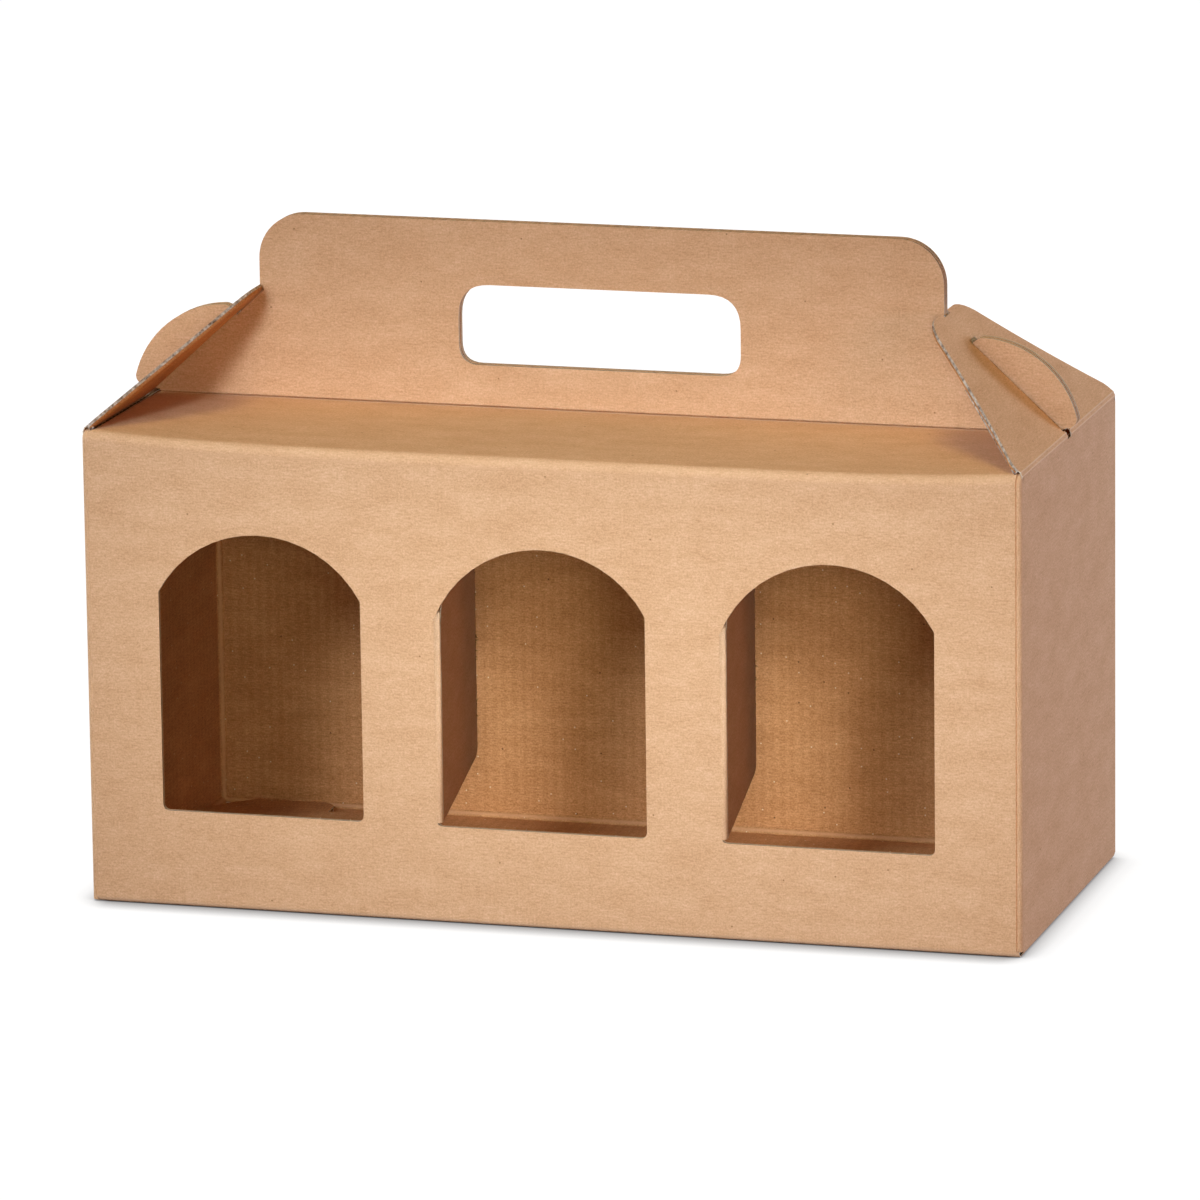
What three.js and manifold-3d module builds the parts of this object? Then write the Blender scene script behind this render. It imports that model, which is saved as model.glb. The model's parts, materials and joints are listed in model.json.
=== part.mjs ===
// Carry box folded from one blank of fine-fluted kraft board, with three arched windows and a handle.
// Millimetres. X runs along the box, Y from front to back, Z up.
// The origin is on the table, under the middle of the box.
import * as THREE from 'three';
import { mergeVertices } from 'three/addons/utils/BufferGeometryUtils.js';
import Module from 'manifold-3d';

const wasm = await Module();
wasm.setup();

// Board and fits
const BOARD = 1.6;               // thickness of the corrugated board
const CREASE_GAP = 0.25;         // clear space where two panels meet at a fold
const LAYER_GAP = 0.25;          // clear space between panels that lie on each other
const HANDLE_GAP = 0.8;          // clear space between the two layers of the handle

// Walls
const LENGTH = 290;              // outside length
const DEPTH = 123;               // outside depth
const WALL_HEIGHT = 146;         // table to the top of the roof

// Windows
const WINDOW_COUNT = 3;
const WINDOW_WIDTH = 63.5;
const WINDOW_PITCH = 88.4;       // from one window to the next
const WINDOW_OFFSET = -1.55;     // middle of the row of windows from the middle of the box
const WINDOW_SILL = 29.7;        // table to the sill
const WINDOW_SPRING = 97.5;      // table to the foot of the arch
const WINDOW_RISE = 18.8;        // height of the arch above its foot
const WINDOW_CORNER = 2.2;       // radius of the two lower corners

// Divider flaps
const DIVIDER_FOLD = 97.5;       // degrees, folded in from the front wall
const DIVIDER_KERF = 1.0;        // cutting loss between a flap and its window
const DIVIDER_SETBACK = 2.0;     // from the window edge that shows to the fold, past the turn of the board
const DIVIDER_RISE = 5.0;        // the lower edge climbs this much towards the free end
const DIVIDER_CORNER = 5.0;      // radius of the lower free corner

// Roof
const ROOF_INSET_AT_WALL = 3.1;  // roof end inside the end of the box, along the wall fold
const ROOF_INSET_AT_HANDLE = 4.8; // and along the handle fold

// Handle
const HANDLE_HEIGHT = 57;        // roof to the top of the handle
const HANDLE_INSET = 37.8;       // upper part inside the end of the box
const HANDLE_FOOT_INSET = 5;     // foot inside the end of the box
const HANDLE_CORNER = 14;
const SLOT_HALF = 44.2;          // half length of the hand slot
const SLOT_LIFT = 12.8;          // roof to the lower edge of the slot
const SLOT_HEIGHT = 24.8;
const SLOT_UPPER_CORNER = 10;
const SLOT_LOWER_CORNER = 6.5;

// Ears at the two ends of the handle
const EAR_RADIUS = 30.5;
const EAR_INSET = 26.9;          // centre of the round edge inside the end of the box
const EAR_DROP = 2.4;            // and below the roof
const EAR_FROM = 14;             // degrees, lower end of the round edge
const EAR_TO = 88;               // degrees, upper end of the round edge
const EAR_LIP_OVER = 0.8;        // lowest point of the ear past the end of the box
const EAR_LIP_LIFT = 2.2;        // and above the roof
const EAR_LIP_ROUND = 0.5;
const POCKET_START = 39.3;       // along the slope, where the ear ends and the pocket begins
const POCKET_CLEAR = 0.5;        // clear space under the gable flap in the pocket

// Gable flaps
const GABLE_SLOPE = 42.5;        // degrees above the table
const GABLE_TIP_OVER = 0.7;      // along the slope, tip past the end of the handle
const GABLE_FOOT_INSET = 0.5;    // insets are from the front and back of the box
const GABLE_SHOULDER = 4.7;      // along the slope, end of the cut corner
const GABLE_SHOULDER_INSET = 2.7;
const GABLE_WAIST = 25;          // the side edges curve in towards this point
const GABLE_WAIST_INSET = 23;
const GABLE_TOP_CORNER = 5.5;    // along the slope, height of the round top corners
const GABLE_NECK_INSET = 39.2;   // lower end of the top corners
const GABLE_TOP_INSET = 46;      // upper end of the top corners
const GABLE_TOP_ROUND = 3;
const SLIT_CLEAR = 1.3;          // each side of the handle in the slits
const HOOK_CLEAR = 1.2;          // between the ear and the end of the slit
const APEX_CLEAR = 0.7;          // between the handle and the end of the short top slit

// Glue flap
const GLUE_WIDTH = 28;
const GLUE_END_CLEAR = 8;        // to the floor below and the roof above
const GLUE_TAPER = 7;            // the free edge is this much shorter at each end

// Floor flaps
const FLOOR_FOLD = 4;            // flat strip next to a floor fold
const FLOOR_CORNER = 6;          // radius of their corners
const FRONT_FLAP_END_CLEAR = 0.8; // to the end walls
const FRONT_FLAP_RAMP = 17.5;    // its climb onto the side flaps
const FRONT_FLAP_BACK_CLEAR = 21.5; // between its two legs and the back of the box
const SIDE_FLAP_LENGTH = 40.5;
const SIDE_FLAP_RAMP = 10;       // its climb onto the back flap
const SIDE_FLAP_FRONT_CLEAR = 2; // behind the front flap's climb
const SIDE_FLAP_BACK_CLEAR = 4.2; // to the back of the box
const SIDE_FLAP_TAPER = 14;      // the front edge moves back by this much at the free end
const BACK_FLAP_FOLD_INSET = 3.5; // end of its fold inside the end of the box
const BACK_FLAP_STRIP_INSET = 7; // end of the narrow strip behind the side flaps
const BACK_FLAP_STRIP_CLEAR = 0.4;
const BACK_FLAP_SIDE_CLEAR = 2.5; // to the climb of the side flaps
const BACK_FLAP_LENGTH = 66.5;
const TONGUE_HALF = 68;          // half width
const TONGUE_SIDE_CLEAR = 0.5;   // cutting loss between the tongue and the legs of the back flap
const TONGUE_BACK = 37.5;        // back of the box to its fold
const TONGUE_RAMP = 20;          // its climb onto the front flap
const TONGUE_FLAT = 18;          // the part that lies on the front flap
const TONGUE_CORNER = 8;
const RECESS_SIDE_CLEAR = 7;     // between the tongue and the legs of the front flap
const RECESS_END_CLEAR = 1;      // the recess ends this much in front of the climb
const PLAN_MARGIN = 1;           // a cutting outline reaches this far past a fold

// Derived places
const HALF = LENGTH / 2;
const FRONT = -DEPTH / 2;
const BACK = DEPTH / 2;
const slope = THREE.MathUtils.degToRad(GABLE_SLOPE);
const WALL_FOOT = BOARD + CREASE_GAP;
const WALL_TOP = WALL_HEIGHT - BOARD - CREASE_GAP;
const MITRE = BOARD * Math.tan((Math.PI / 2 - slope) / 2);
const SLIT_HALF = HANDLE_GAP / 2 + BOARD + SLIT_CLEAR;
const POCKET_END = HANDLE_INSET / Math.cos(slope);
const GABLE_LENGTH = POCKET_END + GABLE_TIP_OVER;
const LAYER = BOARD + LAYER_GAP;
const ARCH_RADIUS = (WINDOW_WIDTH ** 2 / 4 + WINDOW_RISE ** 2) / (2 * WINDOW_RISE);
const ARCH_CENTRE = WINDOW_SPRING + WINDOW_RISE - ARCH_RADIUS;
const windowLeft = (index) => WINDOW_OFFSET - WINDOW_WIDTH / 2 + (index - 1) * WINDOW_PITCH;
const HANDLE_TOP = WALL_HEIGHT + HANDLE_HEIGHT;
const HANDLE_HALF = HALF - HANDLE_INSET;
const EAR_CENTRE_X = HALF - EAR_INSET;
const EAR_CENTRE_Z = WALL_HEIGHT - EAR_DROP;
const FRONT_FLAP_RAMP_END = FRONT + FLOOR_FOLD + FRONT_FLAP_RAMP;
const SIDE_FLAP_RAMP_END = HALF - FLOOR_FOLD - SIDE_FLAP_RAMP;
const SIDE_FLAP_BACK = BACK - SIDE_FLAP_BACK_CLEAR;
const TONGUE_FOLD = BACK - TONGUE_BACK;
const TONGUE_RAMP_END = TONGUE_FOLD - TONGUE_RAMP;

// Colours and surface of the board
const KRAFT_OUTSIDE = '#cfa37a';
const KRAFT_INSIDE = '#8a6844';
const box = new THREE.Group();
box.name = 'gift_carry_box';

// Gives a mesh its own kraft board material and its name.
function named(name, geometry, colour) {
  const material = new THREE.MeshStandardMaterial({ color: colour, roughness: 0.88, metalness: 0 });
  const mesh = new THREE.Mesh(geometry, material);
  mesh.name = name;
  return mesh;
}

// A flat outline given thickness.
function sheet(outline, thickness = BOARD) {
  return new THREE.ExtrudeGeometry(outline, { depth: thickness, bevelEnabled: false, curveSegments: 8 });
}

// An outline from straight lines.
function polygon(points) {
  return new THREE.Shape(points.map(([x, y]) => new THREE.Vector2(x, y)));
}

// An outline from straight lines whose corners may be rounded: each point is [x, y, radius].
function roundedPolygon(points) {
  const shape = new THREE.Shape();
  points.forEach(([x, y, radius = 0], index) => {
    const corner = new THREE.Vector2(x, y);
    const before = new THREE.Vector2(...points.at(index - 1));
    const after = new THREE.Vector2(...points[(index + 1) % points.length]);
    const start = corner.clone().add(before.sub(corner).setLength(radius));
    const end = corner.clone().add(after.sub(corner).setLength(radius));
    if (index === 0) shape.moveTo(start.x, start.y);
    else shape.lineTo(start.x, start.y);
    if (radius > 0) shape.quadraticCurveTo(corner.x, corner.y, end.x, end.y);
  });
  shape.closePath();
  return shape;
}

// The solid of a geometry, moved to its place.
function solidOf(geometry, place) {
  const moved = geometry.clone().applyMatrix4(place);
  moved.deleteAttribute('normal');
  moved.deleteAttribute('uv');
  const merged = mergeVertices(moved, 1e-4);
  return new wasm.Manifold(new wasm.Mesh({
    numProp: 3,
    vertProperties: new Float32Array(merged.attributes.position.array),
    triVerts: new Uint32Array(merged.index.array),
  }));
}

// The part of a bent sheet that lies over a plan outline.
function cutToPlan(bent, place, plan) {
  const below = new THREE.Matrix4().makeTranslation(0, 0, -HALF);
  const cut = solidOf(bent, place).intersect(solidOf(sheet(plan, LENGTH), below)).getMesh();
  const geometry = new THREE.BufferGeometry();
  geometry.setAttribute('position', new THREE.BufferAttribute(cut.vertProperties, 3));
  geometry.setIndex(new THREE.BufferAttribute(cut.triVerts, 1));
  const flat = geometry.toNonIndexed();
  flat.computeVertexNormals();
  return flat;
}

// A section of constant thickness over the points of its lower face.
function bentSection(lower) {
  const upper = lower.map(([along, z]) => [along, z + BOARD]);
  return polygon([...lower, ...upper.reverse()]);
}

// Turns a drawing in X and Z, drawn flat, to stand up; its thickness goes towards the front.
function stand(mesh, backFace) {
  mesh.rotation.x = Math.PI / 2;
  mesh.position.y = backFace;
  return mesh;
}

// Front and back walls
function wallOutline() {
  return polygon([[-HALF, WALL_FOOT], [HALF, WALL_FOOT], [HALF, WALL_TOP], [-HALF, WALL_TOP]]);
}

// A window. Where it has a divider flap, the cut runs on to the flap's fold, past the left edge that shows.
function windowOutline(left, setback) {
  const edge = left - setback;
  const middle = left + WINDOW_WIDTH / 2;
  const right = left + WINDOW_WIDTH;
  const rightFoot = Math.acos((right - middle) / ARCH_RADIUS);
  const leftFoot = Math.PI - Math.acos((middle - edge) / ARCH_RADIUS);
  const path = new THREE.Path();
  path.moveTo(edge, ARCH_CENTRE + ARCH_RADIUS * Math.sin(leftFoot));
  path.lineTo(edge, WINDOW_SILL + WINDOW_CORNER);
  path.quadraticCurveTo(edge, WINDOW_SILL, edge + WINDOW_CORNER, WINDOW_SILL);
  path.lineTo(right - WINDOW_CORNER, WINDOW_SILL);
  path.quadraticCurveTo(right, WINDOW_SILL, right, WINDOW_SILL + WINDOW_CORNER);
  path.lineTo(right, WINDOW_SPRING);
  path.absarc(middle, ARCH_CENTRE, ARCH_RADIUS, rightFoot, leftFoot, false);
  return path;
}

const frontOutline = wallOutline();
for (let index = 0; index < WINDOW_COUNT; index += 1) {
  const setback = index === 0 ? 0 : DIVIDER_SETBACK;
  frontOutline.holes.push(windowOutline(windowLeft(index), setback));
}
box.add(stand(named('front_wall', sheet(frontOutline), KRAFT_OUTSIDE), FRONT + BOARD));
box.add(stand(named('back_wall', sheet(wallOutline()), KRAFT_OUTSIDE), BACK));

// End walls: the top is mitred to the gable fold
const endWallDepth = DEPTH - 2 * (BOARD + CREASE_GAP);
const ends = [['left', -1], ['right', 1]];
for (const [side, sign] of ends) {
  const section = polygon([
    [sign * HALF, WALL_FOOT],
    [sign * HALF, WALL_HEIGHT - CREASE_GAP],
    [sign * (HALF - BOARD), WALL_HEIGHT - CREASE_GAP - MITRE],
    [sign * (HALF - BOARD), WALL_FOOT],
  ]);
  const wall = named(`${side}_side_wall`, sheet(section, endWallDepth), KRAFT_OUTSIDE);
  box.add(stand(wall, endWallDepth / 2));
}

// Glue flap, folded from the back wall and glued inside the right end wall
const glueStart = BACK - BOARD - CREASE_GAP;
const glueOutline = polygon([
  [glueStart, GLUE_END_CLEAR],
  [glueStart, WALL_HEIGHT - GLUE_END_CLEAR],
  [glueStart - GLUE_WIDTH, WALL_HEIGHT - GLUE_END_CLEAR - GLUE_TAPER],
  [glueStart - GLUE_WIDTH, GLUE_END_CLEAR + GLUE_TAPER],
]);
const glueFlap = named('glue_flap', sheet(glueOutline), KRAFT_INSIDE);
glueFlap.rotation.set(Math.PI / 2, 0, Math.PI / 2, 'ZXY');
glueFlap.position.x = HALF - BOARD - LAYER_GAP - BOARD;
box.add(glueFlap);

// Roof and handle, drawn for the front and repeated for the back
function roofOutline(facing) {
  const fold = facing * HANDLE_GAP / 2;
  const wall = facing * BACK;
  const halfAtWall = HALF - ROOF_INSET_AT_WALL;
  const halfAtHandle = HALF - ROOF_INSET_AT_HANDLE;
  return polygon([[-halfAtWall, wall], [halfAtWall, wall], [halfAtHandle, fold], [-halfAtHandle, fold]]);
}

// A point on the outer face of the right gable flap, or under it by a depth.
function onGable(along, under = 0) {
  const x = HALF - along * Math.cos(slope) - under * Math.sin(slope);
  const z = WALL_HEIGHT + along * Math.sin(slope) - under * Math.cos(slope);
  return new THREE.Vector2(x, z);
}

// A point on the round edge of the right ear.
function onEar(degrees) {
  const angle = THREE.MathUtils.degToRad(degrees);
  const x = EAR_CENTRE_X + EAR_RADIUS * Math.cos(angle);
  const z = EAR_CENTRE_Z + EAR_RADIUS * Math.sin(angle);
  return new THREE.Vector2(x, z);
}

// The right edge of the handle, from the roof fold up round the ear and the pocket to the top.
function handleEdge() {
  const depth = BOARD + POCKET_CLEAR;
  const edge = new THREE.Path();
  const earStart = onEar(EAR_FROM);
  const earEnd = onEar(EAR_TO);
  const pocketMouth = onGable(POCKET_START);
  const pocketNear = onGable(POCKET_START, depth);
  const pocketFar = onGable(POCKET_END, depth);
  const pocketTop = onGable(POCKET_END);
  const lipHeight = WALL_HEIGHT + EAR_LIP_LIFT;
  edge.moveTo(HALF - HANDLE_FOOT_INSET, WALL_HEIGHT + CREASE_GAP);
  edge.lineTo(HALF + EAR_LIP_OVER, lipHeight);
  edge.quadraticCurveTo(earStart.x, lipHeight + EAR_LIP_ROUND, earStart.x, earStart.y);
  const from = THREE.MathUtils.degToRad(EAR_FROM);
  const to = THREE.MathUtils.degToRad(EAR_TO);
  edge.absarc(EAR_CENTRE_X, EAR_CENTRE_Z, EAR_RADIUS, from, to, false);
  edge.quadraticCurveTo((earEnd.x + pocketMouth.x) / 2, earEnd.y, pocketMouth.x, pocketMouth.y);
  edge.lineTo(pocketNear.x, pocketNear.y);
  edge.lineTo(pocketFar.x, pocketFar.y);
  edge.lineTo(pocketTop.x, pocketTop.y);
  edge.lineTo(HANDLE_HALF, HANDLE_TOP - HANDLE_CORNER);
  edge.absarc(HANDLE_HALF - HANDLE_CORNER, HANDLE_TOP - HANDLE_CORNER, HANDLE_CORNER, 0, Math.PI / 2);
  return edge.getPoints(8);
}

function handleOutline() {
  const right = handleEdge();
  const left = right.map((point) => new THREE.Vector2(-point.x, point.y)).reverse();
  const outline = new THREE.Shape([...right, ...left]);
  const slotBottom = WALL_HEIGHT + SLOT_LIFT;
  const slotTop = slotBottom + SLOT_HEIGHT;
  outline.holes.push(roundedPolygon([
    [-SLOT_HALF, slotBottom, SLOT_LOWER_CORNER],
    [SLOT_HALF, slotBottom, SLOT_LOWER_CORNER],
    [SLOT_HALF, slotTop, SLOT_UPPER_CORNER],
    [-SLOT_HALF, slotTop, SLOT_UPPER_CORNER],
  ]));
  return outline;
}

const faces = [['front', -1], ['back', 1]];
for (const [side, facing] of faces) {
  const roof = named(`${side}_roof_panel`, sheet(roofOutline(facing)), KRAFT_OUTSIDE);
  roof.position.z = WALL_HEIGHT - BOARD;
  box.add(roof);
  const handle = named(`${side}_handle_panel`, sheet(handleOutline()), KRAFT_OUTSIDE);
  const backFace = facing < 0 ? -HANDLE_GAP / 2 : HANDLE_GAP / 2 + BOARD;
  box.add(stand(handle, backFace));
}

// Gable flaps: half of the outline is drawn and mirrored, with the open slit for the ears
function gableOutline() {
  const foot = MITRE + CREASE_GAP;
  const half = new THREE.Path();
  half.moveTo(SLIT_HALF, POCKET_START + HOOK_CLEAR);
  half.lineTo(SLIT_HALF, foot);
  half.lineTo(BACK - GABLE_FOOT_INSET - GABLE_SHOULDER / 2, foot);
  half.quadraticCurveTo(BACK - GABLE_FOOT_INSET, foot, BACK - GABLE_SHOULDER_INSET, GABLE_SHOULDER);
  const neck = GABLE_LENGTH - GABLE_TOP_CORNER;
  half.quadraticCurveTo(BACK - GABLE_WAIST_INSET, GABLE_WAIST, BACK - GABLE_NECK_INSET, neck);
  const topHalf = BACK - GABLE_TOP_INSET;
  half.quadraticCurveTo(topHalf + GABLE_TOP_ROUND, GABLE_LENGTH, topHalf, GABLE_LENGTH);
  half.lineTo(SLIT_HALF, GABLE_LENGTH);
  half.lineTo(SLIT_HALF, POCKET_END - APEX_CLEAR);
  const right = half.getPoints(8);
  const left = right.map((point) => new THREE.Vector2(-point.x, point.y)).reverse();
  return new THREE.Shape([...right, ...left]);
}

for (const [side, sign] of ends) {
  const flap = named(`${side}_gable_flap`, sheet(gableOutline()), KRAFT_OUTSIDE);
  flap.rotation.z = Math.PI / 2;
  flap.position.z = -BOARD;
  const lean = new THREE.Group();
  lean.rotation.y = slope;
  lean.add(flap);
  const end = new THREE.Group();
  end.position.set(sign * HALF, 0, WALL_HEIGHT);
  end.rotation.z = sign < 0 ? Math.PI : 0;
  end.add(lean);
  box.add(end);
}

// Divider flaps, cut from the middle and right windows and folded in about their left edges
function dividerOutline() {
  const inner = ARCH_RADIUS - DIVIDER_KERF;
  const near = DIVIDER_KERF / 2;
  const far = WINDOW_WIDTH + DIVIDER_SETBACK - DIVIDER_KERF;
  const middle = WINDOW_WIDTH / 2 + DIVIDER_SETBACK;
  const farFoot = Math.acos((far - middle) / inner);
  const nearFoot = Math.PI - Math.acos((middle - near) / inner);
  const farLow = WINDOW_SILL + DIVIDER_KERF + DIVIDER_RISE;
  const outline = new THREE.Shape();
  outline.moveTo(near, WINDOW_SILL + DIVIDER_KERF);
  outline.lineTo(far - DIVIDER_CORNER, farLow);
  outline.quadraticCurveTo(far, farLow, far, farLow + DIVIDER_CORNER);
  outline.absarc(middle, ARCH_CENTRE, inner, farFoot, nearFoot, false);
  outline.closePath();
  return outline;
}

const dividers = [['left', 1], ['right', 2]];
for (const [side, index] of dividers) {
  const flap = stand(named(`${side}_divider_flap`, sheet(dividerOutline()), KRAFT_OUTSIDE), 0);
  const hinge = new THREE.Group();
  hinge.position.set(windowLeft(index) - DIVIDER_SETBACK, FRONT + BOARD, 0);
  hinge.rotation.z = THREE.MathUtils.degToRad(DIVIDER_FOLD);
  hinge.add(flap);
  box.add(hinge);
}

// Floor: the back flap is lowest, the side flaps lie on it, the front flap on those, the tongue on top
const alongX = new THREE.Matrix4().makeRotationFromEuler(
  new THREE.Euler(Math.PI / 2, 0, Math.PI / 2, 'ZXY'),
).setPosition(-HALF, 0, 0);
const alongY = new THREE.Matrix4().makeRotationX(Math.PI / 2).setPosition(0, BACK, 0);

function frontFloorFlap() {
  const section = bentSection([
    [FRONT, 0],
    [FRONT + FLOOR_FOLD, 0],
    [FRONT_FLAP_RAMP_END, 2 * LAYER],
    [BACK, 2 * LAYER],
  ]);
  const half = HALF - BOARD - FRONT_FLAP_END_CLEAR;
  const reach = BACK - FRONT_FLAP_BACK_CLEAR;
  const legInside = TONGUE_HALF + RECESS_SIDE_CLEAR;
  const recess = TONGUE_RAMP_END - RECESS_END_CLEAR;
  const plan = roundedPolygon([
    [-half, FRONT - PLAN_MARGIN],
    [half, FRONT - PLAN_MARGIN],
    [half, reach, FLOOR_CORNER],
    [legInside, reach, FLOOR_CORNER],
    [legInside, recess, FLOOR_CORNER],
    [-legInside, recess, FLOOR_CORNER],
    [-legInside, reach, FLOOR_CORNER],
    [-half, reach, FLOOR_CORNER],
  ]);
  return cutToPlan(sheet(section, LENGTH), alongX, plan);
}

function sideFloorFlap(sign) {
  const freeEdge = HALF - SIDE_FLAP_LENGTH;
  const front = FRONT_FLAP_RAMP_END + SIDE_FLAP_FRONT_CLEAR;
  const section = bentSection([
    [sign * HALF, 0],
    [sign * (HALF - FLOOR_FOLD), 0],
    [sign * SIDE_FLAP_RAMP_END, LAYER],
    [sign * freeEdge, LAYER],
  ]);
  const plan = roundedPolygon([
    [sign * (HALF + PLAN_MARGIN), front],
    [sign * (HALF + PLAN_MARGIN), SIDE_FLAP_BACK],
    [sign * freeEdge, SIDE_FLAP_BACK, FLOOR_CORNER],
    [sign * freeEdge, front + SIDE_FLAP_TAPER, FLOOR_CORNER],
  ]);
  return cutToPlan(sheet(section, DEPTH), alongY, plan);
}

function backFloorFlap() {
  const legInside = TONGUE_HALF + TONGUE_SIDE_CLEAR;
  const legOutside = SIDE_FLAP_RAMP_END - BACK_FLAP_SIDE_CLEAR;
  const reach = BACK - BACK_FLAP_LENGTH;
  const strip = SIDE_FLAP_BACK + BACK_FLAP_STRIP_CLEAR;
  const right = [
    [legInside, TONGUE_FOLD],
    [legInside, reach, FLOOR_CORNER],
    [legOutside, reach, FLOOR_CORNER],
    [legOutside, strip],
    [HALF - BACK_FLAP_STRIP_INSET, strip],
    [HALF - BACK_FLAP_FOLD_INSET, BACK],
  ];
  const left = right.map(([x, y, radius]) => [-x, y, radius]).reverse();
  return sheet(roundedPolygon([...right, ...left]));
}

function floorLockTongue() {
  const reach = TONGUE_RAMP_END - TONGUE_FLAT;
  const section = bentSection([
    [TONGUE_FOLD - CREASE_GAP, 0],
    [TONGUE_RAMP_END, 3 * LAYER],
    [reach, 3 * LAYER],
  ]);
  const plan = roundedPolygon([
    [-TONGUE_HALF, reach, TONGUE_CORNER],
    [TONGUE_HALF, reach, TONGUE_CORNER],
    [TONGUE_HALF, TONGUE_FOLD + PLAN_MARGIN],
    [-TONGUE_HALF, TONGUE_FOLD + PLAN_MARGIN],
  ]);
  return cutToPlan(sheet(section, LENGTH), alongX, plan);
}

box.add(named('back_floor_flap', backFloorFlap(), KRAFT_INSIDE));
box.add(named('floor_lock_tongue', floorLockTongue(), KRAFT_INSIDE));
box.add(named('front_floor_flap', frontFloorFlap(), KRAFT_INSIDE));
for (const [side, sign] of ends) {
  box.add(named(`${side}_floor_flap`, sideFloorFlap(sign), KRAFT_INSIDE));
}

export default box;
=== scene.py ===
# %% [markdown]
# # A kraft carry box, board by board
# The box is folded from one blank of fine-fluted corrugated board: two paper liners with a wavy
# paper between them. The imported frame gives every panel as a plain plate. Here each plate becomes
# real board with open flutes at its cut edges, and each fold becomes a strip of bent paper.

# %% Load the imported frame
import json
import math
import random
import bpy
from mathutils import Matrix, Quaternion, Vector, noise


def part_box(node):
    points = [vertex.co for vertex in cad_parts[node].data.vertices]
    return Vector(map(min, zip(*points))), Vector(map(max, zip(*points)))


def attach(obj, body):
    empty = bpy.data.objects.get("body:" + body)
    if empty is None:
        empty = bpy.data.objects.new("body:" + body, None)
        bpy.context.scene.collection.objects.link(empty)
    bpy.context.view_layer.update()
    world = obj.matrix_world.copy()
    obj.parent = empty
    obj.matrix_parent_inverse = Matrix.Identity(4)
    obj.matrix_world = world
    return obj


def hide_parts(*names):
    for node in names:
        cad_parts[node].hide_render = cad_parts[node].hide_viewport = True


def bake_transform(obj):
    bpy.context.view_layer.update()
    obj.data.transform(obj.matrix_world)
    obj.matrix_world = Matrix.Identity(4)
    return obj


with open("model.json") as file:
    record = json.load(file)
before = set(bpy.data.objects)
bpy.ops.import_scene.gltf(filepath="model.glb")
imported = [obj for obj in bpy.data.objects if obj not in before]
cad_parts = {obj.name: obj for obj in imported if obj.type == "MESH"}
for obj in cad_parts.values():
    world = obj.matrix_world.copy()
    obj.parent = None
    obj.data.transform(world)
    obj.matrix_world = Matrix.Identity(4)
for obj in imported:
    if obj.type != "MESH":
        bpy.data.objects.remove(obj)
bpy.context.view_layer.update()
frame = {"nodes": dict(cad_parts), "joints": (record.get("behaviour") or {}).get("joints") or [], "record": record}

# %% [markdown]
# The sizes come from the frame, so a piece lands where the plate is. Only what the plates can't
# tell is written here: the make-up of the board, the radii of its folds and the windows' outline.

# %% Sizes of the box and its board
MM = 0.001
X, Y, Z = Vector((1, 0, 0)), Vector((0, 1, 0)), Vector((0, 0, 1))
wall_low, wall_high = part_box("front_wall")
HALF = wall_high.x
FRONT = wall_low.y
BACK = -FRONT
BOARD = wall_high.y - wall_low.y
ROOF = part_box("front_roof_panel")[1].z
WALL_FOOT = wall_low.z
HANDLE_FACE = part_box("front_handle_panel")[0].y
LINER = 0.26 * MM  # paper on each side of the board
MEDIUM = 0.16 * MM  # the wavy paper
FLUTE_PITCH = 3.2 * MM
TOP_FOLD = 3.0 * MM  # outside radius where the walls turn into the roof
FOOT_FOLD = WALL_FOOT  # outside radius where the walls turn into the floor
# From an upright corner, a gable fold or a handle fold to where the paper starts to turn.
CORNER_FOLD, GABLE_FOLD, HANDLE_FOLD = 1.85 * MM, 1.5 * MM, 1.0 * MM
SLIT_TOP = 40.5 * MM  # from the fold of a gable flap to the end of its slit
WINDOW_WIDTH = 63.5 * MM
WINDOW_SILL = 29.7 * MM
WINDOW_SPRING = 97.5 * MM
WINDOW_RISE = 18.8 * MM
FOLD_SETBACK = 2.0 * MM  # from the left edge of a window to the fold of its flap
SIDES = (("left", -1), ("right", 1))
FACES = (("front", -1), ("back", 1))
hinges = {joint["name"]: Vector(joint["pos_m"]) for joint in frame["joints"]}
print("box half length", HALF, "board", round(BOARD, 5), "roof at", ROOF)

# %% [markdown]
# A few small helpers save repetition. An operator works on everything that is selected, so each
# helper first selects only its own piece.

# %% Helpers for selecting, copying and finishing
DOUBLES = 0.001 * MM  # points closer than this are one point
CUT_LIMIT = 1e-7  # bisect takes points this near to its plane as lying on it
FLAT = 0.5  # cosine that tells a plate's broad faces from its edges


def activate(piece):
    bpy.ops.object.select_all(action="DESELECT")
    piece.select_set(True)
    bpy.context.view_layer.objects.active = piece


def mode(kind):
    bpy.ops.object.mode_set(mode=kind)


def edit_all(piece):
    """Opens a piece in edit mode with all of it selected."""
    activate(piece)
    mode("EDIT")
    bpy.ops.mesh.select_all(action="SELECT")


def new_object(name, data):
    thing = bpy.data.objects.new(name, data)
    bpy.context.scene.collection.objects.link(thing)
    activate(thing)
    return thing


def finish_with(piece, kind, **settings):
    """Adds a modifier, sets it and applies it."""
    activate(piece)
    modifier = piece.modifiers.new(kind.title(), kind)
    for setting, value in settings.items():
        setattr(modifier, setting, value)
    bpy.ops.object.modifier_apply(modifier=modifier.name)


def copy_of(node, name):
    """A copy of a plate, with its loose triangles merged into one closed skin."""
    piece = new_object(name, frame["nodes"][node].data.copy())
    edit_all(piece)
    bpy.ops.mesh.remove_doubles(threshold=DOUBLES)
    mode("OBJECT")
    piece.data.materials.clear()
    return piece


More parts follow.
